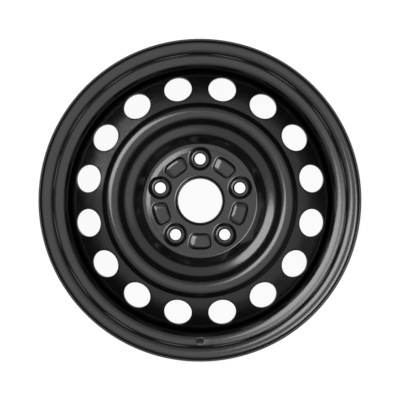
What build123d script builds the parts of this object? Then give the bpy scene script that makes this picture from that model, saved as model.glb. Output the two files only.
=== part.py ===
from build123d import *
from math import atan2, cos, hypot, radians, tan
import os

# A steel road wheel of two pieces, a rolled rim hoop and a pressed disc, joined by weld beads.
# Lengths are in millimetres and angles in degrees. The origin is on the axle in the rim's mid plane,
# +Z points outboard along the axle and +Y points at the first stud hole.

# Rim hoop, a drop-centre contour for a 16 by 6.5 inch tyre, rolled from one sheet
rim_sheet = 2.5
bead_seat_diameter = 405.6
rim_width = 165.1
wheel_offset = 45.0
flange_height = 17.3
flange_curl_radius = 9.0
flange_lip = 3.25
lip_edge_radius = 0.5
heel_radius = 7.8
seat_width = 20.0
seat_taper = 5.0
hump_rise = 1.2
hump_width = 5.0
hump_radius = 5.0
hump_foot_radius = 10.0
well_depth = 20.8
well_width = 46.0
well_wall_angle = 17.0
well_radius = 13.5
ramp_rise = 11.5
ramp_width = 14.0
ramp_foot_radius = 12.0
ramp_top_radius = 14.0
valve_hole_diameter = 11.5
valve_circle = 386.0
valve_angle = -90.0

# Disc, pressed from one sheet, with heights counted from its seating face
disc_sheet = 3.8
bore_diameter = 60.1
bore_entry_radius = 2.5
collar_sheet = 1.45
collar_height = 4.8
collar_lean = 1.8
collar_radius = 3.5
hub_relief = 1.6
relief_width = 5.8
relief_radius = 6.0
seating_width = 4.2
hub_wall_diameter = 156.4
hub_wall_foot_radius = 2.5
shelf_width = 10.6
shelf_inner_height = 22.5
shelf_edge_radius = 8.0
shelf_outer_height = 27.2
shelf_lip_radius = 2.0
gutter_width = 3.2
gutter_height = 26.9
gutter_radius = 2.5
crown_height = 42.0
crown_inner_diameter = 228.6
crown_inner_width = 9.5
crown_width = 11.5
crown_radius = 9.5
crown_outer_width = 7.2
crown_foot_height = 30.0
crown_foot_radius = 4.0
skirt_angle = 35.0
flange_bend_radius = 18.0
weld_flange_end = -26.0
disc_clearance = 0.1

# Vent holes, punched through the conical skirt between the crown and the weld flange
vent_count = 16
vent_diameter = 38.3
vent_inset = 22.0
vent_lean = 18.0

# Stud holes with conical nut seats on raised bosses
stud_count = 5
stud_circle = 114.3
first_stud_angle = 90.0
stud_hole_diameter = 15.3
nut_seat_angle = 60.0
nut_seat_diameter = 18.8
boss_height = 6.0
boss_sheet = 4.0
boss_top_diameter = 21.8
boss_base_diameter = 30.4
boss_top_radius = 1.5
boss_foot_radius = 2.0
boss_flare = 5.0
boss_flare_angle = 20.0

# Stiffening pads embossed between the stud holes
pad_inner_diameter = 89.0
pad_outer_diameter = 134.0
pad_inner_width = 20.0
pad_outer_width = 29.0
pad_height = 4.6
pad_end_angle = 15.0
pad_end_radius = 3.0
pad_side_angle = 50.0
pad_side_radius = 4.0
pad_overrun = 8.0

# Weld beads along the inboard edge of the disc's flange
bead_count = 8
bead_span = 24.0
bead_leg = 3.6
bead_crown = 0.5


def heading(start, end):
    """Unit direction from one section point to the next."""
    run = hypot(end[0] - start[0], end[1] - start[1])
    return (end[0] - start[0]) / run, (end[1] - start[1]) / run


def turn_at(corners, index):
    """Signed turn in radians at a corner, positive to the left."""
    before = heading(corners[index - 1], corners[index])
    after = heading(corners[index], corners[index + 1])
    cross = before[0] * after[1] - before[1] * after[0]
    return atan2(cross, before[0] * after[0] + before[1] * after[1])


def limited_radii(corners, radii):
    """Bend radii, each made smaller where its straight runs are too short for it."""
    fitted = [0.0] + list(radii) + [0.0]
    for index in range(len(corners) - 1):
        run = hypot(corners[index + 1][0] - corners[index][0], corners[index + 1][1] - corners[index][1])
        used = 0.0
        for end in (index, index + 1):
            if 0 < end < len(corners) - 1:
                used += fitted[end] * tan(abs(turn_at(corners, end)) / 2)
        share = min(1.0, 0.98 * run / used) if used else 1.0
        fitted[index] *= share
        fitted[index + 1] *= share
    return fitted[1:-1]


def far_side(corners, radii, sheet):
    """The corners and bend radii of a bent sheet's other face, which lies to the right of this one."""
    last = len(corners) - 1
    shifted = []
    for index, (across, along) in enumerate(corners):
        before = heading(corners[max(index - 1, 0)], corners[max(index, 1)])
        after = heading(corners[min(index, last - 1)], corners[min(index + 1, last)])
        mitre = 1 + before[0] * after[0] + before[1] * after[1]
        shift_across = sheet * (before[1] + after[1]) / mitre
        shift_along = -sheet * (before[0] + after[0]) / mitre
        shifted.append((across + shift_across, along + shift_along))
    bends = []
    for index, radius in enumerate(radii, start=1):
        side = 1 if turn_at(corners, index) > 0 else -1
        bends.append(max(radius + side * sheet, 0.0))
    return shifted, bends


def section(near, near_radii, far, far_radii, end_radius=0.0):
    """A closed face on the XZ plane, between two outlines given as (radius, height) corners."""
    corners = near + far[::-1]
    radii = [end_radius] + near_radii + [end_radius, end_radius] + far_radii[::-1] + [end_radius]
    points = [(across, 0, along) for across, along in corners]
    return make_face(FilletPolyline(*points, radius=radii, close=True))


def turned(outline):
    """A solid of revolution about Z from closed (radius, height) corners with their fillet radii."""
    points = [(across, 0, along) for across, along, radius in outline]
    radii = [radius for across, along, radius in outline]
    return revolve(make_face(FilletPolyline(*points, radius=radii, close=True)), Axis.Z)


def around(count, start_angle, piece):
    """Copies of a piece at equal steps about the axle."""
    return [Rot(0, 0, start_angle + 360 / count * step) * piece for step in range(count)]


# Rim levels and radii on the tyre side
seat_radius = bead_seat_diameter / 2
flange_radius = seat_radius + flange_height
bead_plane = rim_width / 2
lip_plane = bead_plane + flange_curl_radius + flange_lip
seat_end = bead_plane - seat_width
seat_end_radius = seat_radius - seat_width * tan(radians(seat_taper))
hump_plane = seat_end - hump_width
hump_crest_radius = seat_end_radius + hump_rise
well_floor_radius = seat_radius - well_depth
well_start = hump_plane - (hump_crest_radius - well_floor_radius) * tan(radians(well_wall_angle))
well_end = well_start - well_width
rim_inner_radius = well_floor_radius - rim_sheet

# Disc levels and radii on the outboard side
bore_radius = bore_diameter / 2
collar_top_radius = bore_radius + collar_sheet
collar_foot_radius = collar_top_radius + collar_lean
hub_front = hub_relief + disc_sheet
collar_top = hub_front + collar_height
seating_diameter = hub_wall_diameter - 2 * seating_width
relief_diameter = seating_diameter - 2 * relief_width
gutter_diameter = crown_inner_diameter - 2 * crown_inner_width
shelf_outer_diameter = gutter_diameter - 2 * gutter_width
shelf_inner_diameter = shelf_outer_diameter - 2 * shelf_width
crown_outer_diameter = crown_inner_diameter + 2 * crown_width
crown_foot_diameter = crown_outer_diameter + 2 * crown_outer_width
vent_circle = crown_foot_diameter + 2 * vent_inset
weld_flange_radius = rim_inner_radius - disc_clearance
stud_radius = stud_circle / 2

# Skirt between the crown's foot and the weld flange
skirt_fall = tan(radians(skirt_angle))
flange_corner_height = crown_foot_height - (weld_flange_radius - crown_foot_diameter / 2) * skirt_fall


def make_rim():
    """The hoop: curled flanges, tapered bead seats with humps, and a well that takes the disc."""
    corners = [
        (flange_radius, lip_plane),
        (flange_radius, bead_plane),
        (seat_radius, bead_plane),
        (seat_end_radius, seat_end),
        (hump_crest_radius, hump_plane),
        (well_floor_radius, well_start),
        (well_floor_radius, well_end),
        (well_floor_radius + ramp_rise, well_end - ramp_width),
        (hump_crest_radius, -hump_plane),
        (seat_end_radius, -seat_end),
        (seat_radius, -bead_plane),
        (flange_radius, -bead_plane),
        (flange_radius, -lip_plane),
    ]
    radii = [
        flange_curl_radius,
        heel_radius,
        hump_foot_radius,
        hump_radius,
        well_radius,
        ramp_foot_radius,
        ramp_top_radius,
        hump_radius,
        hump_foot_radius,
        heel_radius,
        flange_curl_radius,
    ]
    radii = limited_radii(corners, radii)
    inside, inside_radii = far_side(corners, radii, rim_sheet)
    return revolve(section(corners, radii, inside, inside_radii, lip_edge_radius), Axis.Z) - valve_hole()


def valve_hole():
    """A drill through the well's outboard wall, square to it."""
    wall = radians(well_wall_angle)
    hole_radius = valve_circle / 2
    hole_height = well_start + (hole_radius - well_floor_radius) * tan(wall)
    drill = Cylinder(valve_hole_diameter / 2, 4 * rim_sheet)
    return Rot(0, 0, valve_angle) * Pos(hole_radius, 0, hole_height) * Rot(0, -well_wall_angle, 0) * drill


def disc_sheet_body():
    """The pressed sheet before punching: bore collar, hub seat, stepped bowl, crown, skirt and weld flange."""
    corners = [
        (collar_foot_radius, hub_front),
        (relief_diameter / 2, hub_front),
        (seating_diameter / 2, disc_sheet),
        (hub_wall_diameter / 2, disc_sheet),
        (shelf_inner_diameter / 2, shelf_inner_height),
        (shelf_outer_diameter / 2, shelf_outer_height),
        (gutter_diameter / 2, gutter_height),
        (crown_inner_diameter / 2, crown_height),
        (crown_outer_diameter / 2, crown_height),
        (crown_foot_diameter / 2, crown_foot_height),
        (weld_flange_radius, flange_corner_height),
        (weld_flange_radius, weld_flange_end),
    ]
    radii = [
        relief_radius,
        relief_radius,
        hub_wall_foot_radius,
        shelf_edge_radius,
        shelf_lip_radius,
        gutter_radius,
        crown_radius,
        crown_radius,
        crown_foot_radius,
        flange_bend_radius,
    ]
    radii = limited_radii(corners, radii)
    rear, rear_radii = far_side(corners, radii, disc_sheet)
    front = [(collar_top_radius, collar_top)] + corners
    rear = [(bore_radius, collar_top), (bore_radius, hub_relief)] + rear[1:]
    return revolve(section(front, [collar_radius] + radii, rear, [bore_entry_radius] + rear_radii), Axis.Z)


def vent_punch():
    """A punch that leans outwards from the axle and meets the skirt's front face at the vent circle."""
    height = crown_foot_height - (vent_circle - crown_foot_diameter) / 2 * skirt_fall
    punch = Cylinder(vent_diameter / 2, 8 * disc_sheet)
    return Pos(vent_circle / 2, 0, height) * Rot(0, vent_lean, 0) * punch


def stud_boss():
    """A raised boss about its own stud axis: what it adds in front and what it takes from behind."""
    top = hub_front + boss_height
    top_radius = boss_top_diameter / 2
    base_radius = boss_base_diameter / 2
    flare_radius = base_radius + boss_flare
    flare_height = hub_front - boss_flare * tan(radians(boss_flare_angle))
    raised = turned(
        [
            (0, top, 0),
            (top_radius, top, boss_top_radius),
            (base_radius, hub_front, boss_foot_radius),
            (flare_radius, flare_height, 0),
            (0, flare_height, 0),
        ]
    )
    slope = (base_radius - top_radius) / boss_height
    wall_shift = disc_sheet * hypot(slope, 1)
    ceiling = top - boss_sheet
    mouth_radius = top_radius + slope * (top - hub_relief) - wall_shift
    below = -disc_sheet / 2
    hollow = turned(
        [
            (0, ceiling, 0),
            (top_radius + slope * boss_sheet - wall_shift, ceiling, 0),
            (mouth_radius, hub_relief, 0),
            (mouth_radius, below, 0),
            (0, below, 0),
        ]
    )
    hole_radius = stud_hole_diameter / 2
    seat_top_radius = nut_seat_diameter / 2
    seat_depth = (seat_top_radius - hole_radius) / tan(radians(nut_seat_angle / 2))
    hole = turned(
        [
            (0, top, 0),
            (seat_top_radius, top, 0),
            (hole_radius, top - seat_depth, 0),
            (hole_radius, hub_relief, 0),
            (0, hub_relief, 0),
        ]
    )
    return raised, hollow + hole


def pad_form(end_inset, side_inset):
    """A pad's body on the XY plane: a piece of a ring with steep ends, cut to a keystone with soft sides."""
    inner = pad_inner_diameter / 2 + end_inset
    outer = pad_outer_diameter / 2 - end_inset
    end_run = pad_height * tan(radians(pad_end_angle))
    root_depth = pad_height / 2
    root_run = end_run / 2
    ring = turned(
        [
            (inner - root_run, -root_depth, 0),
            (inner + end_run, pad_height, pad_end_radius),
            (outer - end_run, pad_height, pad_end_radius),
            (outer + root_run, -root_depth, 0),
        ]
    )
    spread = (pad_outer_width - pad_inner_width) / (pad_outer_diameter - pad_inner_diameter)
    slant = hypot(1, spread)
    near = inner - pad_overrun
    far = outer + pad_overrun
    narrow = pad_inner_width / 2 + spread * (near - pad_inner_diameter / 2) - slant * side_inset
    wide = pad_inner_width / 2 + spread * (far - pad_inner_diameter / 2) - slant * side_inset
    keystone = Polygon((near, -narrow), (far, -wide), (far, wide), (near, narrow), align=None)
    body = extrude(keystone, pad_height, taper=pad_side_angle)
    top_edges = body.faces().sort_by(Axis.Z)[-1].edges().sort_by(Axis.Y)
    return fillet([top_edges[0], top_edges[-1]], pad_side_radius) & ring


def make_disc():
    """The disc with its vents, bosses and pads."""
    disc = disc_sheet_body()
    raised, taken = stud_boss()
    end_inset = disc_sheet * tan(radians(45 - pad_end_angle / 2))
    side_inset = disc_sheet * tan(radians(45 - pad_side_angle / 2))
    pad = Pos(0, 0, hub_front) * pad_form(0, 0)
    pad_hollow = Pos(0, 0, hub_relief) * pad_form(end_inset, side_inset)
    pad_angle = first_stud_angle + 180 / stud_count
    to_stud = Pos(stud_radius, 0, 0)
    disc += around(stud_count, first_stud_angle, to_stud * raised)
    disc += around(stud_count, pad_angle, pad)
    disc -= around(stud_count, first_stud_angle, to_stud * taken)
    disc -= around(stud_count, pad_angle, pad_hollow)
    disc -= around(vent_count, first_stud_angle + 180 / vent_count, vent_punch())
    return Pos(0, 0, wheel_offset) * disc


def make_weld_beads():
    """Fillet welds in the corner between the flange's inboard edge and the rim."""
    root = (rim_inner_radius, 0, weld_flange_end)
    rim_toe = (rim_inner_radius, 0, weld_flange_end - bead_leg)
    flange_toe = (rim_inner_radius - bead_leg, 0, weld_flange_end)
    swell = bead_leg / 2 + bead_crown * cos(radians(45))
    middle = (rim_inner_radius - swell, 0, weld_flange_end - swell)
    face = make_face([Line(root, rim_toe), ThreePointArc(rim_toe, middle, flange_toe), Line(flange_toe, root)])
    bead = revolve(face, Axis.Z, bead_span)
    return Pos(0, 0, wheel_offset) * Compound(around(bead_count, first_stud_angle - bead_span / 2, bead))


os.makedirs("parts", exist_ok=True)
export_step(make_rim(), "parts/rim.step")
export_step(make_disc(), "parts/disc.step")
export_step(make_weld_beads(), "parts/weld_beads.step")
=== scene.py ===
from math import atan2, ceil, cos, degrees, hypot, pi, radians, sin, tan

import bmesh
import bpy
import numpy as np
from mathutils import Matrix, Vector


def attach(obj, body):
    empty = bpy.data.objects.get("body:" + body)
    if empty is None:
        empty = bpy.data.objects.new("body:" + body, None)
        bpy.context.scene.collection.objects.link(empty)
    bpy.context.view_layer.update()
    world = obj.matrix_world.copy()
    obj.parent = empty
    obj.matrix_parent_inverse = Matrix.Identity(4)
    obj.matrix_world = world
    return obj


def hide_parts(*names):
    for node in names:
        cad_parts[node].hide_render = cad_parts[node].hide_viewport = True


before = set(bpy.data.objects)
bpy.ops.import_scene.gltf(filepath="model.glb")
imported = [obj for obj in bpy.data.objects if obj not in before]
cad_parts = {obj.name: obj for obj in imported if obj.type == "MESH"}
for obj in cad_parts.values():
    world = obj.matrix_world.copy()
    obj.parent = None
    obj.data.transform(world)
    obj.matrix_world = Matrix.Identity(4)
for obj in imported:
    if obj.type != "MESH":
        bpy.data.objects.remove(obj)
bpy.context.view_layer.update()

# The looks of a painted steel road wheel: its rim hoop, its pressed disc and the weld beads between them,
# each as one mesh without open edges. The sheets' edges are rounded, as on rolled, punched, painted steel.
# Lengths are in millimetres where no heading says metres, and angles in degrees. Meshes are made in metres.
# Most sizes are those of the part's solids. The bead seats, the well's walls, the bowl, the crown, the
# vents, the bosses and the pads depart from them by up to a few millimetres, where the photograph shows
# them so.
MM = 0.001

# Rim hoop
rim_sheet = 2.5
bead_seat_diameter = 403.6
rim_width = 165.1
wheel_offset = 45.0
flange_height = 18.3
flange_curl_radius = 9.0
flange_lip = 3.25
lip_edge_radius = 0.5
heel_radius = 9.8
seat_width = 20.0
seat_taper = 5.0
hump_rise = 1.2
hump_width = 5.0
hump_radius = 5.0
hump_foot_radius = 10.0
well_depth = 19.8
well_width = 46.0
well_wall_angle = 11.0
well_radius = 13.5
ramp_rise = 15.8
ramp_width = 14.2
ramp_foot_radius = 12.0
ramp_top_radius = 14.0
valve_hole_diameter = 11.5
valve_circle = 386.0
valve_angle = -90.0
valve_edge_radius = 0.6
valve_spot_depth = 0.12
valve_spot_radius = 9.2
valve_spot_edge = 2.0

# Disc, with heights counted from its seating face
disc_sheet = 3.8
bore_diameter = 60.1
bore_entry_radius = 2.5
collar_sheet = 1.45
collar_height = 4.8
collar_lean = 1.8
collar_radius = 3.5
collar_edge_radius = 0.7
hub_relief = 1.6
relief_diameter = 136.4
seating_diameter = 148.0
relief_radius = 6.0
hub_wall_diameter = 156.4
hub_wall_foot_radius = 2.5
shelf_inner_diameter = 181.6
shelf_inner_height = 22.5
shelf_edge_radius = 14.0
shelf_outer_diameter = 206.4
shelf_outer_height = 27.9
shelf_bend_radius = 13.0
crown_height = 42.0
crown_inner_diameter = 227.8
crown_outer_diameter = 252.6
crown_radius = 11.3
crown_foot_diameter = 266.0
crown_foot_height = 30.0
crown_foot_radius = 4.0
skirt_angle = 33.6
flange_bend_radius = 18.0
weld_flange_end = -26.0
vent_count = 16
vent_diameter = 37.7
vent_circle = 310.8
vent_lean = 18.0
vent_edge_radius = 0.7

# Stud holes with conical nut seats on raised bosses
stud_count = 5
stud_circle = 114.3
first_stud_angle = 90.0
stud_hole_diameter = 15.0
nut_seat_angle = 60.0
nut_seat_diameter = 18.8
boss_height = 6.0
boss_sheet = 4.0
boss_top_diameter = 23.2
boss_base_diameter = 31.8
boss_top_radius = 3.2
boss_foot_radius = 2.6
boss_reach = 17.3
boss_level_radius = 11.0
boss_edge_radius = 0.35
boss_pocket_radius = 0.8
boss_mouth_radius = 1.2

# Stiffening pads embossed between the stud holes
pad_inner_diameter = 89.0
pad_outer_diameter = 134.0
pad_inner_width = 27.0
pad_outer_width = 36.5
pad_corner_radius = 6.4
pad_side_spread = 1.6
pad_height = 4.6
pad_wall_angle = 35.0
pad_top_radius = 7.5
pad_foot_radius = 2.0
pad_reach = 1.2
pad_top_inset = 8.0

# Weld beads along the inboard edge of the disc's flange
bead_count = 8
bead_span = 24.0
bead_leg = 3.6
bead_crown = 0.5
bead_ripple = 0.28
bead_ripple_pitch = 2.6
bead_end_taper = 5.0
bead_end_share = 0.05

# Mesh fineness: columns about the axle, which both the ten hub sectors and the sixteen vent sectors divide,
# steps along straight runs in millimetres and along bends in degrees, and rings around bosses, pads and
# holes. The hub block is the ring of sectors that the bosses and pads fill, between two radii.
columns = 240
first_column = first_stud_angle - 180 / (2 * stud_count)
run_step = 4.0
bend_step = 9.0
fine_run_step = 0.2
fine_bend_step = 0.5
boss_run_step = 2.0
boss_bend_step = 16.0
boss_blend = (0.3, 0.6, 0.85)
pad_run_step = 1.2
pad_bend_step = 9.0
pad_blend = (0.2, 0.4, 0.6, 0.8)
bead_run_step = 0.6
bead_face_steps = 8
hole_edge_steps = 4
vent_blend_rings = 4
valve_blend_rings = 9
hub_block_inner = 36.2
hub_block_outer = 75.8
hub_block_margin = 1.0
valve_block_columns = 4
sharp_angle = 38.0

# Share of a straight run that its two bends may take, and how the searches for points on a face proceed
bend_fill = 0.98
landing_steps = 60
landing_gain = 0.8
halvings = 40

# Paint: noise scales per metre, dark and light tones, least and most roughness, and a depth in metres
paint_ior = 1.5
mottle_scale = 55.0
mottle_detail = 4.0
mottle_range = (0.35, 0.7)
paint_dark = (0.0003, 0.0003, 0.0003, 1)
paint_light = (0.0009, 0.0009, 0.001, 1)
gloss_scale = 140.0
gloss_detail = 3.0
gloss_range = (0.3, 0.7)
paint_roughness = (0.17, 0.22)
peel_scale = 900.0
peel_detail = 2.0
peel_strength = 0.12
peel_depth = 0.0002

# Camera and light, in metres, degrees and watts, with the sensor's width in millimetres
camera_distance = 9.0
view_width = 0.5448
view_middle = (0.00022, 0.00018)
camera_right = 0.56
camera_low = 1.15
sensor_width = 36.0
camera_reach = 90.0
floor_size = 24.0
floor_glow = 0.94
floor_shade = 0.07
floor_albedo = 0.8
world_white_from = 0.45
world_horizon = 0.2
key_azimuth = 148.0
key_from_axis = 41.5
key_distance = 2.4
key_width = 1.82
key_height = 2.1
key_power = 96.0
top_azimuth = 325.0
top_from_axis = 20.0
top_distance = 2.2
top_width = 3.2
top_height = 3.2
top_power = 24.0


def heading(start, end):
    """Unit direction from one section point to the next."""
    run = hypot(end[0] - start[0], end[1] - start[1])
    return (end[0] - start[0]) / run, (end[1] - start[1]) / run


def turn_at(corners, index):
    """Signed turn in radians at a corner, positive to the left."""
    before = heading(corners[index - 1], corners[index])
    after = heading(corners[index], corners[index + 1])
    cross = before[0] * after[1] - before[1] * after[0]
    return atan2(cross, before[0] * after[0] + before[1] * after[1])


def limited_radii(corners, radii):
    """Bend radii, each made smaller where its straight runs are too short for it."""
    fitted = [0.0] + list(radii) + [0.0]
    for index in range(len(corners) - 1):
        run = hypot(corners[index + 1][0] - corners[index][0], corners[index + 1][1] - corners[index][1])
        used = 0.0
        for end in (index, index + 1):
            if 0 < end < len(corners) - 1:
                used += fitted[end] * tan(abs(turn_at(corners, end)) / 2)
        share = min(1.0, bend_fill * run / used) if used else 1.0
        fitted[index] *= share
        fitted[index + 1] *= share
    return fitted[1:-1]


def far_side(corners, radii, sheet):
    """The corners and bend radii of a bent sheet's other face, which lies to the right of this one."""
    last = len(corners) - 1
    shifted = []
    for index, (across, along) in enumerate(corners):
        before = heading(corners[max(index - 1, 0)], corners[max(index, 1)])
        after = heading(corners[min(index, last - 1)], corners[min(index + 1, last)])
        mitre = 1 + before[0] * after[0] + before[1] * after[1]
        shift_across = sheet * (before[1] + after[1]) / mitre
        shift_along = -sheet * (before[0] + after[0]) / mitre
        shifted.append((across + shift_across, along + shift_along))
    bends = []
    for index, radius in enumerate(radii, start=1):
        side = 1 if turn_at(corners, index) > 0 else -1
        bends.append(max(radius + side * sheet, 0.0))
    return shifted, bends


def spans(corners, radii):
    """The straight runs and round bends of an outline, in order, as (start, heading, length, turn)."""
    radii = [0.0] + list(radii) + [0.0]
    turns = [0.0] + [turn_at(corners, index) for index in range(1, len(corners) - 1)] + [0.0]
    cuts = [radius * tan(abs(turn) / 2) for radius, turn in zip(radii, turns)]
    found = []
    for index in range(len(corners) - 1):
        ahead = heading(corners[index], corners[index + 1])
        run = hypot(corners[index + 1][0] - corners[index][0], corners[index + 1][1] - corners[index][1])
        start = (corners[index][0] + ahead[0] * cuts[index], corners[index][1] + ahead[1] * cuts[index])
        length = run - cuts[index] - cuts[index + 1]
        found.append((start, ahead, length, 0.0))
        end = (start[0] + ahead[0] * length, start[1] + ahead[1] * length)
        arc = radii[index + 1] * abs(turns[index + 1])
        found.append((end, ahead, arc, turns[index + 1]))
    return found[:-1]


def span_counts(found, step, turn_step):
    """How many pieces each span of an outline is divided into."""
    counts = []
    for start, ahead, length, turn in found:
        by_length = ceil(length / step)
        by_turn = ceil(abs(degrees(turn)) / turn_step) if length > 0 else 0
        counts.append(max(by_length, by_turn))
    return counts


def traced(found, counts):
    """Points along an outline's spans, with the number of each span's first point."""
    points = [found[0][0]]
    firsts = []
    for (start, ahead, length, turn), count in zip(found, counts):
        firsts.append(len(points) - 1)
        face = atan2(ahead[1], ahead[0])
        for step in range(1, count + 1):
            share = step / count
            if turn:
                radius = length / turn
                now = face + turn * share
                across = start[0] + radius * (sin(now) - sin(face))
                along = start[1] - radius * (cos(now) - cos(face))
            else:
                across = start[0] + ahead[0] * length * share
                along = start[1] + ahead[1] * length * share
            points.append((across, along))
    return np.array(points), firsts


def outline(corners, radii, step, turn_step):
    """Points along one open outline."""
    found = spans(corners, radii)
    return traced(found, span_counts(found, step, turn_step))[0]


def smooth(value):
    """An eased step from 0 to 1."""
    share = np.clip(value, 0.0, 1.0)
    return share * share * (3 - 2 * share)


class Side:
    """One face of a turned sheet: rows of (radius, height) points, and the same line at a fine step."""

    def __init__(self, found, counts):
        self.rows, self.firsts = traced(found, counts)
        self.fine = traced(found, span_counts(found, fine_run_step, fine_bend_step))[0]
        runs = np.hypot(*np.diff(self.fine, axis=0).T)
        self.fine_lengths = np.concatenate([[0.0], np.cumsum(runs)])
        lengths = [length for start, ahead, length, turn in found]
        starts = np.concatenate([[0.0], np.cumsum(lengths)])
        self.row_lengths = [0.0]
        for start, length, count in zip(starts, lengths, counts):
            self.row_lengths.extend(start + length * step / count for step in range(1, count + 1))
        self.row_lengths = np.array(self.row_lengths)

    def at(self, along):
        """Radius and height at a length along the line."""
        radius = np.interp(along, self.fine_lengths, self.fine[:, 0])
        height = np.interp(along, self.fine_lengths, self.fine[:, 1])
        return radius, height

    def point(self, along, angle):
        """A point on the turned face, as an array of x, y and z."""
        radius, height = self.at(along)
        return np.stack([radius * np.cos(angle), radius * np.sin(angle), height + 0 * angle], axis=-1)


class Shell:
    """One mesh without open edges, gathered from loops of points."""

    def __init__(self):
        self.points = np.zeros((0, 3))
        self.faces = []

    def add(self, points):
        """New points, by their numbers."""
        first = len(self.points)
        self.points = np.concatenate([self.points, points])
        return np.arange(first, first + len(points))

    def band(self, loop, following):
        """Four-sided faces between two closed loops of the same count."""
        ahead = np.roll(loop, -1)
        following_ahead = np.roll(following, -1)
        self.faces.extend(np.stack([loop, ahead, following_ahead, following], axis=1).tolist())

    def cap(self, loop, middle):
        """Three-sided faces from a closed loop to one point."""
        tip = self.add(np.array([middle]))[0]
        ahead = np.roll(loop, -1)
        self.faces.extend(np.stack([loop, ahead, 0 * loop + tip], axis=1).tolist())

    def sleeve(self, loop, rings):
        """Bands from a loop of known points through new rings. Returns the last ring's numbers."""
        for ring in rings:
            numbers = self.add(ring)
            self.band(loop, numbers)
            loop = numbers
        return loop

    def made(self, name):
        """The mesh as a shown object, in metres, with its faces turned outwards."""
        used = np.unique(np.concatenate([np.array(face) for face in self.faces]))
        renumber = np.zeros(len(self.points), dtype=int)
        renumber[used] = np.arange(len(used))
        mesh = bpy.data.meshes.new(name)
        faces = [renumber[face].tolist() for face in self.faces]
        mesh.from_pydata((self.points[used] * MM).tolist(), [], faces)
        shaped = bmesh.new()
        shaped.from_mesh(mesh)
        bmesh.ops.recalc_face_normals(shaped, faces=shaped.faces)
        shaped.to_mesh(mesh)
        shaped.free()
        mesh.shade_smooth()
        mesh.set_sharp_from_angle(angle=radians(sharp_angle))
        piece = bpy.data.objects.new(name, mesh)
        bpy.context.scene.collection.objects.link(piece)
        return piece


class TurnedSheet:
    """A bent sheet turned about the axle: a grid of rows and columns on both faces, joined at its ends."""

    def __init__(self, near, near_radii, far, far_radii, end_radius):
        middles = []
        for end in (0, -1):
            middles.append(((near[end][0] + far[end][0]) / 2, (near[end][1] + far[end][1]) / 2))
        found = []
        for corners, radii in ((near, near_radii), (far, far_radii)):
            line = [middles[0]] + list(corners) + [middles[1]]
            found.append(spans(line, [end_radius[0]] + list(radii) + [end_radius[1]]))
        counts = np.maximum(
            span_counts(found[0], run_step, bend_step), span_counts(found[1], run_step, bend_step)
        ).tolist()
        self.sides = [Side(found[0], counts), Side(found[1], counts)]
        self.row_count = len(self.sides[0].rows)
        self.angles = radians(first_column) + np.arange(columns) * 2 * pi / columns
        self.kept = np.ones((self.row_count - 1, columns), dtype=bool)
        self.shell = Shell()
        self.numbers = []
        for side in self.sides:
            radius = side.rows[:, :1]
            height = side.rows[:, 1:] + 0 * self.angles
            points = np.stack([radius * np.cos(self.angles), radius * np.sin(self.angles), height], axis=-1)
            self.numbers.append(self.shell.add(points.reshape(-1, 3)).reshape(self.row_count, columns))
        self.numbers[1][0] = self.numbers[0][0]
        self.numbers[1][-1] = self.numbers[0][-1]

    def corner_rows(self, index):
        """The rows where a corner's bend starts and ends. Corners are counted without the end middles."""
        firsts = self.sides[0].firsts
        return firsts[2 * index + 1], firsts[2 * index + 2]

    def cut(self, first_row, last_row, start_column, column_count):
        """Leaves a block of faces out on both sides, and returns its edge as rows and columns in order."""
        block = np.arange(start_column, start_column + column_count) % columns
        self.kept[first_row:last_row, block] = False
        across = np.arange(start_column, start_column + column_count)
        down = np.arange(first_row, last_row)
        rows = np.concatenate([0 * across + first_row, down, 0 * across + last_row, down[::-1] + 1])
        edge = np.concatenate(
            [across, 0 * down + start_column + column_count, across[::-1] + 1, 0 * down + start_column]
        )
        return rows, edge

    def edge_numbers(self, side, rows, edge):
        """Point numbers along a block's edge on one side."""
        return self.numbers[side][rows, edge % columns]

    def close(self):
        """Adds the faces of the grid that no block left out."""
        for side in (0, 1):
            numbers = self.numbers[side]
            ahead = np.roll(numbers, -1, axis=1)
            quads = np.stack([numbers[:-1], numbers[1:], ahead[1:], ahead[:-1]], axis=-1)
            self.shell.faces.extend(quads[self.kept].tolist())


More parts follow.
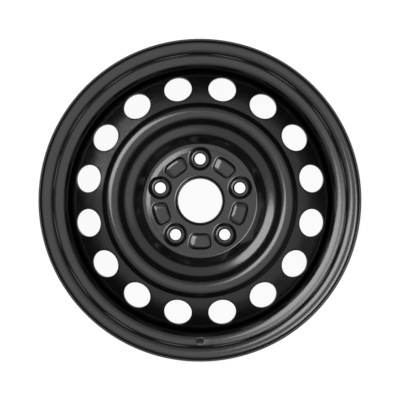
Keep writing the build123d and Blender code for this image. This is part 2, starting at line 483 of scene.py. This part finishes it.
class SheetHole:
    """A round hole punched through a turned sheet, with rounded edges."""

    def __init__(self, sheet, rows, edge, angle, middle, tangent):
        self.sheet = sheet
        self.rows = rows
        self.edge = edge
        self.angle = angle
        self.middle = middle
        self.tangent = tangent
        self.normal = (-tangent[1], tangent[0])

    def offsets(self, side, along, turn):
        """Distances of face points from the hole's middle, along the section and about the axle."""
        radius, height = self.sheet.sides[side].at(along)
        out = radius * np.cos(turn) - self.middle[0]
        up = height - self.middle[1]
        return out * self.tangent[0] + up * self.tangent[1], radius * np.sin(turn)

    def landed(self, side, first, along_target, about_target):
        """Where points at given distances from the hole's middle land on a face of the sheet."""
        along = first + along_target
        turn = 0 * along_target
        for step in range(landing_steps):
            radius = self.sheet.sides[side].at(along)[0]
            turn = np.arcsin(about_target / radius)
            along = along + landing_gain * (along_target - self.offsets(side, along, turn)[0])
        return along, turn

    def rings(self, side, hole_radius, edge_radius, blend_count, pressed=None):
        """Rings on one face, from next to the block's edge to the rounded edge of the hole."""
        face = self.sheet.sides[side]
        nearest = np.argmin(np.hypot(face.fine[:, 0] - self.middle[0], face.fine[:, 1] - self.middle[1]))
        first = face.fine_lengths[nearest]
        edge_along = face.row_lengths[self.rows]
        edge_turn = self.sheet.angles[0] + self.edge * 2 * pi / columns - self.angle
        bearing = np.arctan2(face.at(edge_along)[0] * edge_turn, edge_along - first)
        outward = 1.0 if side == 0 else -1.0
        found = []
        rim_along, rim_turn = self.landed(
            side,
            first,
            (hole_radius + edge_radius) * np.cos(bearing),
            (hole_radius + edge_radius) * np.sin(bearing),
        )
        for step in range(1, blend_count + 1):
            share = step / (blend_count + 1)
            along = edge_along + (rim_along - edge_along) * share
            turn = edge_turn + (rim_turn - edge_turn) * share
            found.append(self.placed(side, along, turn, pressed, 0.0, outward))
        for step in range(hole_edge_steps + 1):
            lean = pi / 2 * step / hole_edge_steps
            reach = hole_radius + edge_radius * (1 - sin(lean))
            along, turn = self.landed(side, first, reach * np.cos(bearing), reach * np.sin(bearing))
            found.append(self.placed(side, along, turn, pressed, edge_radius * (1 - cos(lean)), outward))
        return found

    def placed(self, side, along, turn, pressed, depth, outward):
        """Points on a face, sunk below it by a depth and by what is pressed in around the hole."""
        points = self.sheet.sides[side].point(along, turn)
        if pressed:
            reach = np.hypot(*self.offsets(side, along, turn))
            depth = depth + pressed(reach)
        sunk = -outward * depth
        points[:, 0] += sunk * self.normal[0]
        points[:, 2] += sunk * self.normal[1]
        spun = points.copy()
        spun[:, 0] = points[:, 0] * cos(self.angle) - points[:, 1] * sin(self.angle)
        spun[:, 1] = points[:, 0] * sin(self.angle) + points[:, 1] * cos(self.angle)
        return spun

    def punch(self, hole_radius, edge_radius, blend_count, pressed=None):
        """Joins the two sides of the sheet through the hole."""
        shell = self.sheet.shell
        start = self.sheet.edge_numbers(0, self.rows, self.edge)
        end = self.sheet.edge_numbers(1, self.rows, self.edge)
        front = self.rings(0, hole_radius, edge_radius, blend_count)
        back = self.rings(1, hole_radius, edge_radius, blend_count, pressed)
        last = shell.sleeve(start, front + back[::-1])
        shell.band(last, end)


# Rim levels and radii on the tyre side
seat_radius = bead_seat_diameter / 2
flange_radius = seat_radius + flange_height
bead_plane = rim_width / 2
lip_plane = bead_plane + flange_curl_radius + flange_lip
seat_end = bead_plane - seat_width
seat_end_radius = seat_radius - seat_width * tan(radians(seat_taper))
hump_plane = seat_end - hump_width
hump_crest_radius = seat_end_radius + hump_rise
well_floor_radius = seat_radius - well_depth
well_start = hump_plane - (hump_crest_radius - well_floor_radius) * tan(radians(well_wall_angle))
well_end = well_start - well_width
rim_inner_radius = well_floor_radius - rim_sheet

# Disc levels and radii on the outboard side
bore_radius = bore_diameter / 2
collar_top_radius = bore_radius + collar_sheet
collar_foot_radius = collar_top_radius + collar_lean
hub_front = hub_relief + disc_sheet
collar_top = hub_front + collar_height
weld_flange_radius = rim_inner_radius
stud_radius = stud_circle / 2
skirt_fall = tan(radians(skirt_angle))
flange_corner_height = crown_foot_height - (weld_flange_radius - crown_foot_diameter / 2) * skirt_fall


def valve_spot(reach):
    """Depth of the spot coined around the valve hole."""
    return valve_spot_depth * (1 - smooth((reach - valve_spot_radius) / valve_spot_edge))


def make_rim():
    """The hoop, with the valve hole in a shallow coined spot."""
    corners = [
        (flange_radius, lip_plane),
        (flange_radius, bead_plane),
        (seat_radius, bead_plane),
        (seat_end_radius, seat_end),
        (hump_crest_radius, hump_plane),
        (well_floor_radius, well_start),
        (well_floor_radius, well_end),
        (well_floor_radius + ramp_rise, well_end - ramp_width),
        (hump_crest_radius, -hump_plane),
        (seat_end_radius, -seat_end),
        (seat_radius, -bead_plane),
        (flange_radius, -bead_plane),
        (flange_radius, -lip_plane),
    ]
    hump_corner = 4
    well_corner = 5
    radii = [
        flange_curl_radius,
        heel_radius,
        hump_foot_radius,
        hump_radius,
        well_radius,
        ramp_foot_radius,
        ramp_top_radius,
        hump_radius,
        hump_foot_radius,
        heel_radius,
        flange_curl_radius,
    ]
    radii = limited_radii(corners, radii)
    inside, inside_radii = far_side(corners, radii, rim_sheet)
    hoop = TurnedSheet(corners, radii, inside, inside_radii, (lip_edge_radius, lip_edge_radius))
    wall = radians(well_wall_angle)
    middle_radius = valve_circle / 2
    middle_height = well_start + (middle_radius - well_floor_radius) * tan(wall)
    first_row = hoop.corner_rows(hump_corner)[0]
    last_row = hoop.corner_rows(well_corner)[1]
    middle_column = round((valve_angle - first_column) % 360 / 360 * columns)
    start_column = middle_column - valve_block_columns
    rows, edge = hoop.cut(first_row, last_row, start_column, 2 * valve_block_columns)
    tangent = (-cos(wall), -sin(wall))
    hole = SheetHole(hoop, rows, edge, radians(valve_angle % 360), (middle_radius, middle_height), tangent)
    hole.punch(valve_hole_diameter / 2, valve_edge_radius, valve_blend_rings, valve_spot)
    hoop.close()
    return hoop.shell.made("rim_hoop")


def disc_sides():
    """The pressed sheet's front and rear corners with their bend radii."""
    corners = [
        (collar_foot_radius, hub_front),
        (hub_block_inner, hub_front),
        (relief_diameter / 2, hub_front),
        (seating_diameter / 2, disc_sheet),
        (hub_block_outer, disc_sheet),
        (hub_wall_diameter / 2, disc_sheet),
        (shelf_inner_diameter / 2, shelf_inner_height),
        (shelf_outer_diameter / 2, shelf_outer_height),
        (crown_inner_diameter / 2, crown_height),
        (crown_outer_diameter / 2, crown_height),
        (crown_foot_diameter / 2, crown_foot_height),
        (weld_flange_radius, flange_corner_height),
        (weld_flange_radius, weld_flange_end),
    ]
    radii = [
        0.0,
        relief_radius,
        relief_radius,
        0.0,
        hub_wall_foot_radius,
        shelf_edge_radius,
        shelf_bend_radius,
        crown_radius,
        crown_radius,
        crown_foot_radius,
        flange_bend_radius,
    ]
    radii = limited_radii(corners, radii)
    rear, rear_radii = far_side(corners, radii, disc_sheet)
    front = [(collar_top_radius, collar_top)] + corners
    rear = [(bore_radius, collar_top), (bore_radius, hub_relief)] + rear[1:]
    return front, [collar_radius] + radii, rear, [bore_entry_radius] + rear_radii


class HubSector:
    """One of the ten hub sectors: the block between two rows that a boss or a pad fills."""

    def __init__(self, disc, rows, edge, middle_radius, angle):
        self.disc = disc
        self.rows = rows
        self.edge = edge
        self.middle = np.array([middle_radius * cos(angle), middle_radius * sin(angle)])
        self.angle = angle

    def start(self, side):
        """Point numbers, distances from the sector's middle and bearings along the block's edge."""
        numbers = self.disc.edge_numbers(side, self.rows, self.edge)
        away = self.disc.shell.points[numbers][:, :2] - self.middle
        return numbers, away, np.arctan2(away[:, 1], away[:, 0])

    def raised(self, side, away, height, base, share):
        """Points over the hub's own face: share tells how much of that face's rise and fall they follow."""
        flat = away + self.middle
        radius, level = self.disc.sides[side].fine.T
        inside = radius > hub_block_inner - hub_block_margin
        inside &= radius < hub_block_outer + hub_block_margin
        inside &= level < hub_front + hub_block_margin
        own = np.interp(np.hypot(flat[:, 0], flat[:, 1]), radius[inside], level[inside])
        return np.concatenate([flat, (base + height + share * (own - base))[:, None]], axis=1)


def boss_outline():
    """A boss's section about its own stud axis, from the hub's front face round to its rear face."""
    top = hub_front + boss_height
    slope = (boss_base_diameter - boss_top_diameter) / 2 / boss_height
    wall_shift = disc_sheet * hypot(slope, 1)
    ceiling = top - boss_sheet
    hole_radius = stud_hole_diameter / 2
    seat_radius_at_top = nut_seat_diameter / 2
    seat_depth = (seat_radius_at_top - hole_radius) / tan(radians(nut_seat_angle / 2))
    pocket = boss_top_diameter / 2 + slope * boss_sheet - wall_shift
    mouth = boss_top_diameter / 2 + slope * (top - hub_relief) - wall_shift
    corners = [
        (boss_reach, hub_front),
        (boss_base_diameter / 2, hub_front),
        (boss_top_diameter / 2, top),
        (seat_radius_at_top, top),
        (hole_radius, top - seat_depth),
        (hole_radius, ceiling),
        (pocket, ceiling),
        (mouth, hub_relief),
        (boss_reach, hub_relief),
    ]
    radii = [
        boss_foot_radius,
        boss_top_radius,
        boss_edge_radius,
        boss_edge_radius,
        boss_edge_radius,
        boss_pocket_radius,
        boss_mouth_radius,
    ]
    hole_corner = 4
    found = spans(corners, limited_radii(corners, radii))
    points, firsts = traced(found, span_counts(found, boss_run_step, boss_bend_step))
    return points, firsts[2 * hole_corner]


def make_boss(sector):
    """A raised boss with its stud hole, conical nut seat and rear pocket."""
    shell = sector.disc.shell
    start, away, bearing = sector.start(0)
    end, rear_away = sector.start(1)[:2]
    ray = np.stack([np.cos(bearing), np.sin(bearing)], axis=1)
    rings = []
    for share in boss_blend:
        rings.append(sector.raised(0, away + (boss_reach * ray - away) * share, 0.0, hub_front, 1.0))
    points, hole_row = boss_outline()
    settle = boss_reach - boss_level_radius
    for row, (reach, height) in enumerate(points):
        side = 0 if row <= hole_row else 1
        base = hub_front if side == 0 else hub_relief
        share = smooth((reach - boss_level_radius) / settle)
        rings.append(sector.raised(side, reach * ray, height - base, base, share))
    for share in reversed(boss_blend):
        spread = rear_away + (boss_reach * ray - rear_away) * share
        rings.append(sector.raised(1, spread, 0.0, hub_relief, 1.0))
    shell.band(shell.sleeve(start, rings), end)


def pad_distance(out, side):
    """How far points lie outside the core of a pad's rounded keystone, by their places out and sideways."""
    inner = pad_inner_diameter / 2
    outer = pad_outer_diameter / 2
    spread = (pad_outer_width - pad_inner_width) / (outer - inner) / 2
    half_width = pad_inner_width / 2 + spread * (out - inner)
    beyond_side = (np.abs(side) - half_width) / hypot(1, spread)
    beside = np.where(beyond_side < 0, beyond_side / pad_side_spread, beyond_side) + pad_corner_radius
    lengthwise = np.abs(np.hypot(out, side) - (inner + outer) / 2) - (outer - inner) / 2 + pad_corner_radius
    outside = np.hypot(np.maximum(beside, 0), np.maximum(lengthwise, 0))
    return outside + np.minimum(np.maximum(beside, lengthwise), 0)


def pad_ring(middle_radius, bearing, inset):
    """Distances from a pad's middle, along the given bearings, to its outline set in by some amount."""
    low = 0 * bearing
    high = 0 * bearing + pad_outer_diameter / 2
    for step in range(halvings):
        middle = (low + high) / 2
        gap = pad_distance(middle_radius + middle * np.cos(bearing), middle * np.sin(bearing))
        beyond = gap > pad_corner_radius - inset
        high = np.where(beyond, middle, high)
        low = np.where(beyond, low, middle)
    return (low + high) / 2


def pad_wall(foot_inset, foot_radius, top_radius):
    """A pad wall's section from the hub's face up to the pad's top, as rows of (distance in, height)."""
    corners = [
        (-pad_reach, 0.0),
        (foot_inset, 0.0),
        (foot_inset + pad_height * tan(radians(pad_wall_angle)), pad_height),
        (pad_top_inset, pad_height),
    ]
    radii = limited_radii(corners, [foot_radius, top_radius])
    return outline(corners, radii, pad_run_step, pad_bend_step)


def make_pad(sector):
    """An embossed pad: its rounded front and the pocket behind it."""
    shell = sector.disc.shell
    middle_radius = hypot(*sector.middle)
    turn = np.array([[cos(sector.angle), sin(sector.angle)], [-sin(sector.angle), cos(sector.angle)]])
    front_wall = pad_wall(0.0, pad_foot_radius, pad_top_radius)
    rear_inset = disc_sheet * tan(radians(45 - pad_wall_angle / 2))
    rear_wall = pad_wall(rear_inset, pad_foot_radius + disc_sheet, pad_top_radius - disc_sheet)
    for side, base, wall in ((0, hub_front, front_wall), (1, hub_relief, rear_wall)):
        start, away, bearing = sector.start(side)
        own_bearing = bearing - sector.angle
        rings = []
        for inset, height in wall:
            reach = pad_ring(middle_radius, own_bearing, inset)
            local = np.stack([reach * np.cos(own_bearing), reach * np.sin(own_bearing)], axis=1)
            if not rings:
                edge = local @ turn
                for share in pad_blend:
                    rings.append(sector.raised(side, away + (edge - away) * share, 0.0, base, 1.0))
            rings.append(sector.raised(side, local @ turn, height, base, 1.0))
        last = shell.sleeve(start, rings)
        shell.cap(last, [sector.middle[0], sector.middle[1], base + pad_height])


def press_hub(disc):
    """Fills the hub's sectors with bosses and pads by turns."""
    hub_inner_corner = 2
    hub_outer_corner = 5
    first_row = disc.corner_rows(hub_inner_corner)[1]
    last_row = disc.corner_rows(hub_outer_corner)[0]
    sector_columns = columns // (2 * stud_count)
    pad_middle = (pad_inner_diameter + pad_outer_diameter) / 4
    for step in range(2 * stud_count):
        rows, edge = disc.cut(first_row, last_row, step * sector_columns, sector_columns)
        angle = radians(first_stud_angle + step * 180 / stud_count)
        if step % 2 == 0:
            make_boss(HubSector(disc, rows, edge, stud_radius, angle))
        else:
            make_pad(HubSector(disc, rows, edge, pad_middle, angle))


def punch_vents(disc):
    """The ring of vents in the slanted zone outside the crown."""
    crown_foot_corner = 11
    flange_corner = 12
    first_row = disc.corner_rows(crown_foot_corner)[1]
    last_row = disc.corner_rows(flange_corner)[1]
    height = crown_foot_height - (vent_circle - crown_foot_diameter) / 2 * skirt_fall
    middle = (vent_circle / 2, height)
    tangent = (cos(radians(vent_lean)), -sin(radians(vent_lean)))
    vent_columns = columns // vent_count
    first_vent_column = round((first_stud_angle - first_column) / 360 * columns)
    for step in range(vent_count):
        start = first_vent_column + step * vent_columns
        rows, edge = disc.cut(first_row, last_row, start, vent_columns)
        angle = radians(first_stud_angle + (step + 0.5) * 360 / vent_count)
        hole = SheetHole(disc, rows, edge, angle, middle, tangent)
        hole.punch(vent_diameter / 2, vent_edge_radius, vent_blend_rings)


def make_disc():
    """The pressed disc with its bosses, pads and vents."""
    front, front_radii, rear, rear_radii = disc_sides()
    disc = TurnedSheet(front, front_radii, rear, rear_radii, (collar_edge_radius, collar_edge_radius))
    press_hub(disc)
    punch_vents(disc)
    disc.close()
    disc.shell.points[:, 2] += wheel_offset
    return disc.shell.made("pressed_disc")


def bead_section(along, length):
    """A bead's section at a length along its run, as distances in from the rim and down from the flange."""
    to_end = min(along, length - along)
    swell = max((1 - (1 - min(to_end / bead_end_taper, 1)) ** 2) ** 0.5, bead_end_share)
    ripple = bead_ripple * abs(sin(pi * along / bead_ripple_pitch))
    leg = (bead_leg - bead_ripple + ripple) * swell
    section = [(0.0, 0.0)]
    for step in range(bead_face_steps + 1):
        share = step / bead_face_steps
        bulge = bead_crown * swell * sin(pi * share) * cos(radians(45))
        section.append((leg * share + bulge, leg * (1 - share) + bulge))
    return section


def make_weld_beads():
    """Rippled fillet welds in the corner between the disc's flange and the rim."""
    shell = Shell()
    length = radians(bead_span) * rim_inner_radius
    steps = ceil(length / bead_run_step)
    for bead in range(bead_count):
        middle = radians(first_stud_angle + bead * 360 / bead_count)
        rings = []
        for step in range(steps + 1):
            along = length * step / steps
            angle = middle + (along - length / 2) / rim_inner_radius
            points = []
            for inward, down in bead_section(along, length):
                radius = rim_inner_radius - inward
                height = weld_flange_end - down + wheel_offset
                points.append((radius * cos(angle), radius * sin(angle), height))
            rings.append(np.array(points))
        first = shell.add(rings[0])
        last = shell.sleeve(first, rings[1:])
        shell.cap(first, rings[0].mean(axis=0).tolist())
        shell.cap(last, rings[-1].mean(axis=0).tolist())
    return shell.made("weld_bead_runs")


def noise(nodes, links, place, scale, detail):
    """A noise texture laid out in the object's own space."""
    texture = nodes.new("ShaderNodeTexNoise")
    texture.inputs["Scale"].default_value = scale
    texture.inputs["Detail"].default_value = detail
    links.new(place.outputs["Object"], texture.inputs["Vector"])
    return texture


def black_paint():
    """Semi-gloss dipped black paint: faint mottling, uneven gloss and a fine orange peel."""
    material = bpy.data.materials.new("black_paint")
    material.use_nodes = True
    nodes = material.node_tree.nodes
    links = material.node_tree.links
    paint = nodes["Principled BSDF"]
    paint.inputs["IOR"].default_value = paint_ior
    place = nodes.new("ShaderNodeTexCoord")
    mottle = noise(nodes, links, place, mottle_scale, mottle_detail)
    tone = nodes.new("ShaderNodeValToRGB")
    for element, position, colour in zip(tone.color_ramp.elements, mottle_range, (paint_dark, paint_light)):
        element.position = position
        element.color = colour
    links.new(mottle.outputs["Fac"], tone.inputs["Fac"])
    links.new(tone.outputs["Color"], paint.inputs["Base Color"])
    gloss = noise(nodes, links, place, gloss_scale, gloss_detail)
    spread = nodes.new("ShaderNodeMapRange")
    spread.inputs["From Min"].default_value = gloss_range[0]
    spread.inputs["From Max"].default_value = gloss_range[1]
    spread.inputs["To Min"].default_value = paint_roughness[0]
    spread.inputs["To Max"].default_value = paint_roughness[1]
    links.new(gloss.outputs["Fac"], spread.inputs["Value"])
    links.new(spread.outputs["Result"], paint.inputs["Roughness"])
    peel = noise(nodes, links, place, peel_scale, peel_detail)
    bump = nodes.new("ShaderNodeBump")
    bump.inputs["Strength"].default_value = peel_strength
    bump.inputs["Distance"].default_value = peel_depth
    links.new(peel.outputs["Fac"], bump.inputs["Height"])
    links.new(bump.outputs["Normal"], paint.inputs["Normal"])
    return material


def seen_rays(nodes, links):
    """1 for camera, glossy and transmission rays, and 0 for the rays that only carry light."""
    path = nodes.new("ShaderNodeLightPath")
    total = path.outputs["Is Camera Ray"]
    for kind in ("Is Glossy Ray", "Is Transmission Ray"):
        most = nodes.new("ShaderNodeMath")
        most.operation = "MAXIMUM"
        links.new(total, most.inputs[0])
        links.new(path.outputs[kind], most.inputs[1])
        total = most.outputs[0]
    return total


def make_floor():
    """A plain white floor under the wheel, about as bright as the background, that still takes a shadow."""
    mesh = bpy.data.meshes.new("floor")
    half = floor_size / 2
    level = -lip_plane * MM
    mesh.from_pydata(
        [(-half, -half, level), (half, -half, level), (half, half, level), (-half, half, level)],
        [],
        [(0, 1, 2, 3)],
    )
    floor = bpy.data.objects.new("floor", mesh)
    bpy.context.scene.collection.objects.link(floor)
    material = bpy.data.materials.new("floor_white")
    material.use_nodes = True
    nodes = material.node_tree.nodes
    links = material.node_tree.links
    nodes.clear()
    output = nodes.new("ShaderNodeOutputMaterial")
    mix = nodes.new("ShaderNodeMixShader")
    plain = nodes.new("ShaderNodeBsdfDiffuse")
    plain.inputs["Color"].default_value = (floor_albedo, floor_albedo, floor_albedo, 1)
    shade = nodes.new("ShaderNodeBsdfDiffuse")
    shade.inputs["Color"].default_value = (floor_shade, floor_shade, floor_shade, 1)
    glow = nodes.new("ShaderNodeEmission")
    glow.inputs["Strength"].default_value = floor_glow
    bright = nodes.new("ShaderNodeAddShader")
    links.new(shade.outputs[0], bright.inputs[0])
    links.new(glow.outputs[0], bright.inputs[1])
    links.new(seen_rays(nodes, links), mix.inputs["Fac"])
    links.new(plain.outputs[0], mix.inputs[1])
    links.new(bright.outputs[0], mix.inputs[2])
    links.new(mix.outputs[0], output.inputs["Surface"])
    mesh.materials.append(material)
    return floor


def make_world():
    """A studio's even light: white overhead and dimmer towards the horizon."""
    world = bpy.data.worlds.new("studio")
    bpy.context.scene.world = world
    world.use_nodes = True
    nodes = world.node_tree.nodes
    links = world.node_tree.links
    background = nodes["Background"]
    background.inputs["Color"].default_value = (1, 1, 1, 1)
    place = nodes.new("ShaderNodeTexCoord")
    parts = nodes.new("ShaderNodeSeparateXYZ")
    level = nodes.new("ShaderNodeMapRange")
    level.inputs["From Min"].default_value = 0.0
    level.inputs["From Max"].default_value = world_white_from
    level.inputs["To Min"].default_value = world_horizon
    level.inputs["To Max"].default_value = 1.0
    links.new(place.outputs["Generated"], parts.inputs["Vector"])
    links.new(parts.outputs["Z"], level.inputs["Value"])
    links.new(level.outputs["Result"], background.inputs["Strength"])


def area_light(name, azimuth, from_axis, distance, width, height, power):
    """A soft box aimed at the wheel's centre, placed by its direction from the axle."""
    lamp = bpy.data.lights.new(name, "AREA")
    lamp.shape = "RECTANGLE"
    lamp.size = width
    lamp.size_y = height
    lamp.energy = power
    holder = bpy.data.objects.new(name, lamp)
    tilt = radians(from_axis)
    turn = radians(azimuth)
    place = Vector((sin(tilt) * cos(turn), sin(tilt) * sin(turn), cos(tilt))) * distance
    holder.location = place
    holder.rotation_euler = place.to_track_quat("Z", "Y").to_euler()
    bpy.context.scene.collection.objects.link(holder)


def make_camera():
    """A long lens almost straight above the wheel, a little low and to the right of the axle."""
    lens = bpy.data.cameras.new("camera")
    lens.sensor_width = sensor_width
    lens.lens = sensor_width * camera_distance / view_width
    lens.clip_end = camera_reach
    camera = bpy.data.objects.new("camera", lens)
    aim = Vector((view_middle[0], view_middle[1], lip_plane * MM))
    away = Vector((tan(radians(camera_right)), -tan(radians(camera_low)), 1.0)) * camera_distance
    back = away.normalized()
    right = Vector((0, 1, 0)).cross(back).normalized()
    facing = Matrix((right, back.cross(right), back)).transposed()
    camera.matrix_world = Matrix.Translation(aim + away) @ facing.to_4x4()
    bpy.context.scene.collection.objects.link(camera)
    bpy.context.scene.camera = camera


bpy.context.scene.view_settings.view_transform = "Standard"
paint = black_paint()
for maker, node in ((make_rim, "rim"), (make_disc, "disc"), (make_weld_beads, "weld_beads")):
    piece = maker()
    piece.data.materials.append(paint)
    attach(piece, "root")
    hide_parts(node)
make_floor()
make_world()
area_light("key", key_azimuth, key_from_axis, key_distance, key_width, key_height, key_power)
area_light("top", top_azimuth, top_from_axis, top_distance, top_width, top_height, top_power)
make_camera()
